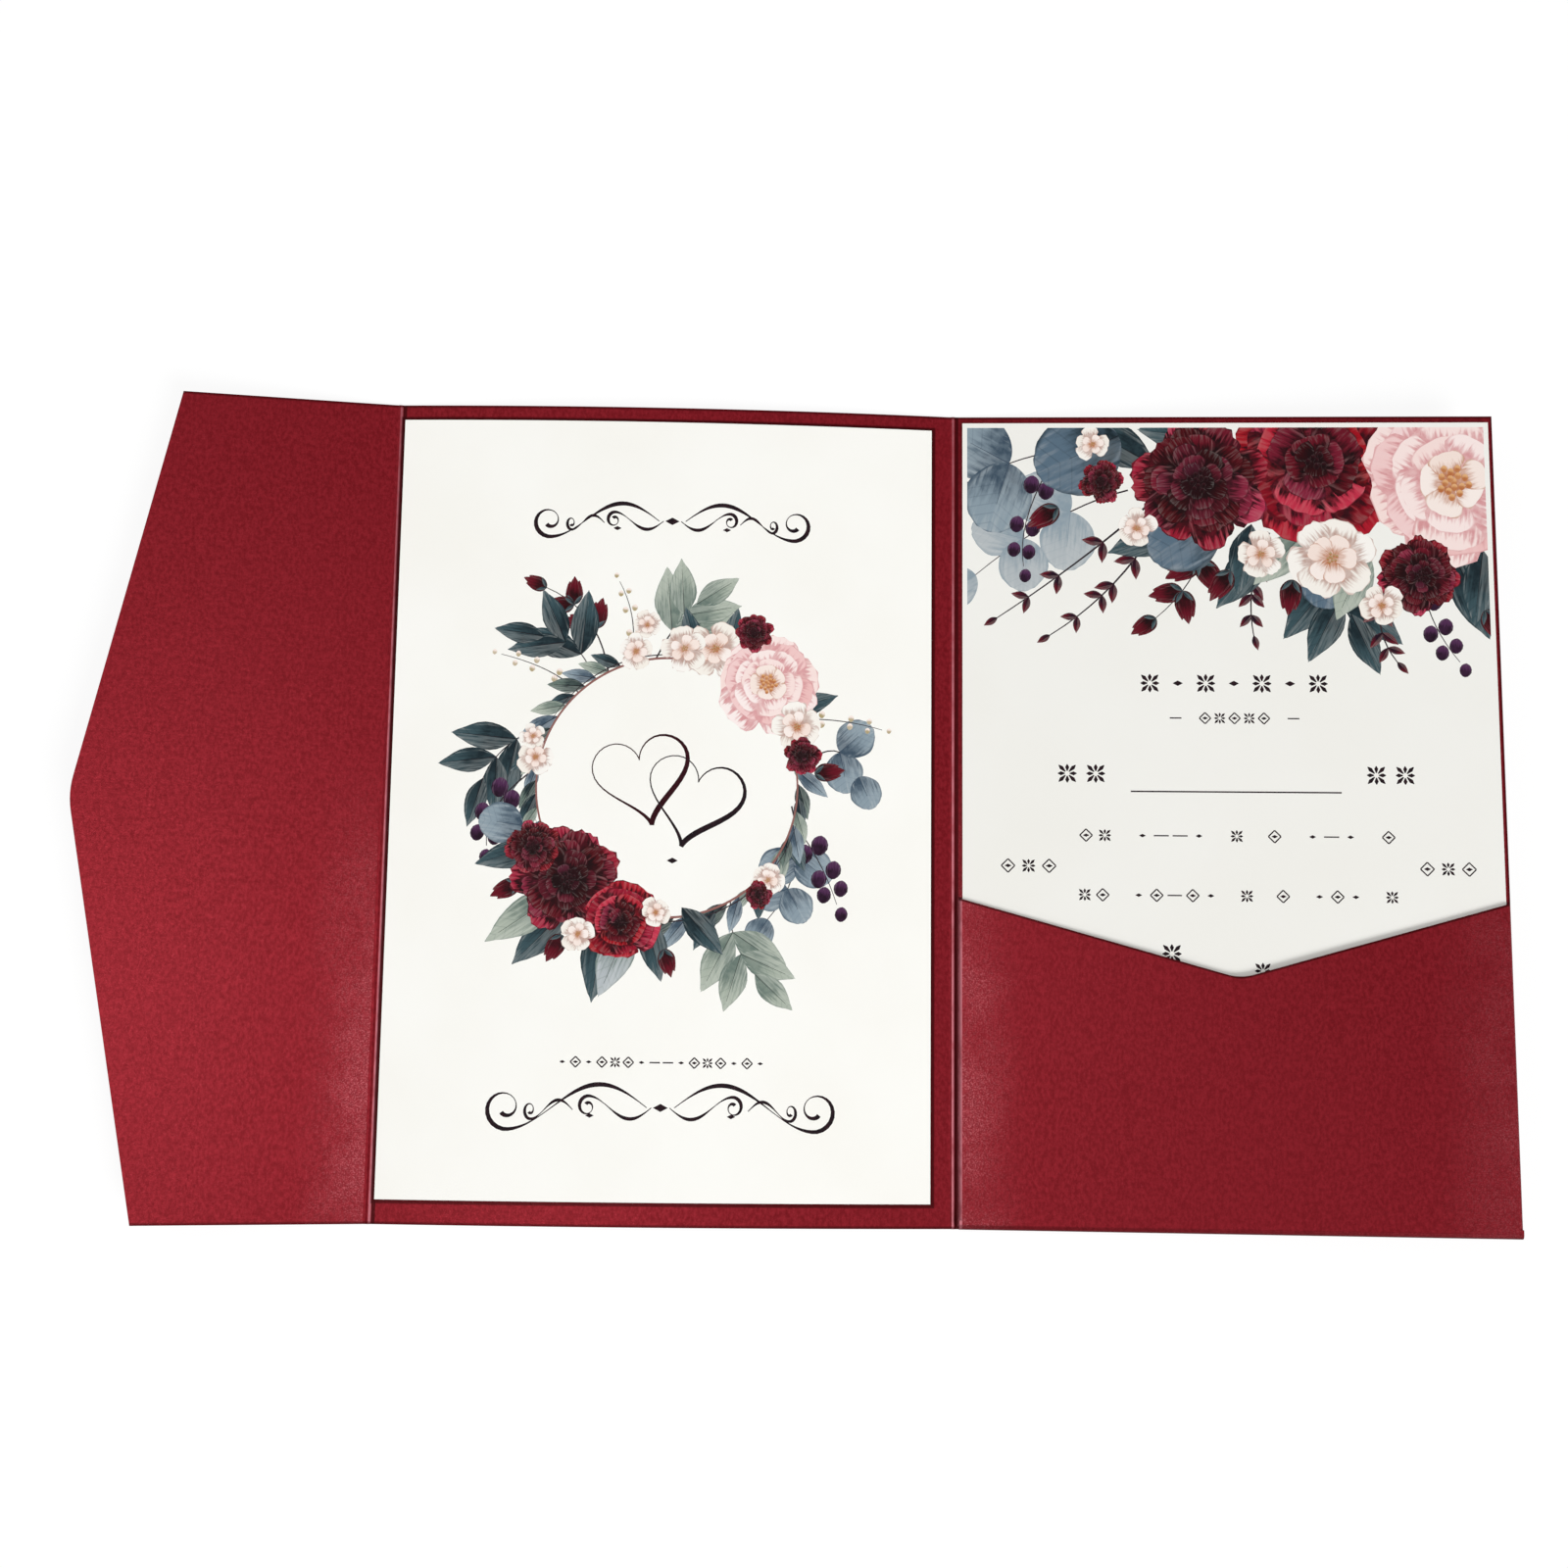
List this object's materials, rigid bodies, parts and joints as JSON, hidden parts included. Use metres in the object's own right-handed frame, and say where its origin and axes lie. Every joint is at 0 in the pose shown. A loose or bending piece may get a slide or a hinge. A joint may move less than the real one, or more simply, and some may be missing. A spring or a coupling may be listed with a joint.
{
  "type": "pocket fold invitation",
  "caption": "Open pocket fold invitation of burgundy pearl card: pointed closing flap, arched centre panel with a cream card, and a panel with a V-cut pocket holding an insert card.",
  "frame": {"origin": "middle of the open folder's footprint, on the surface that its two creases rest on", "axes": "+X from the pointed flap towards the pocket, +Y up the printed page, +Z out of the printed side"},
  "size_m": [0.318, 0.185, 0.0109],
  "materials": {
    "pearl_card": "satin",
    "cream_card": "matte",
    "white_card": "matte",
    "adhesive": "satin"
  },
  "bodies": {
    "root": {"folder": "pearl_card", "main_card": "cream_card", "adhesive_strip_left": "adhesive", "adhesive_strip_right": "adhesive", "adhesive_strip_bottom": "adhesive", "adhesive_strip_top": "adhesive", "insert_card": "white_card"}
  },
  "joints": []
}
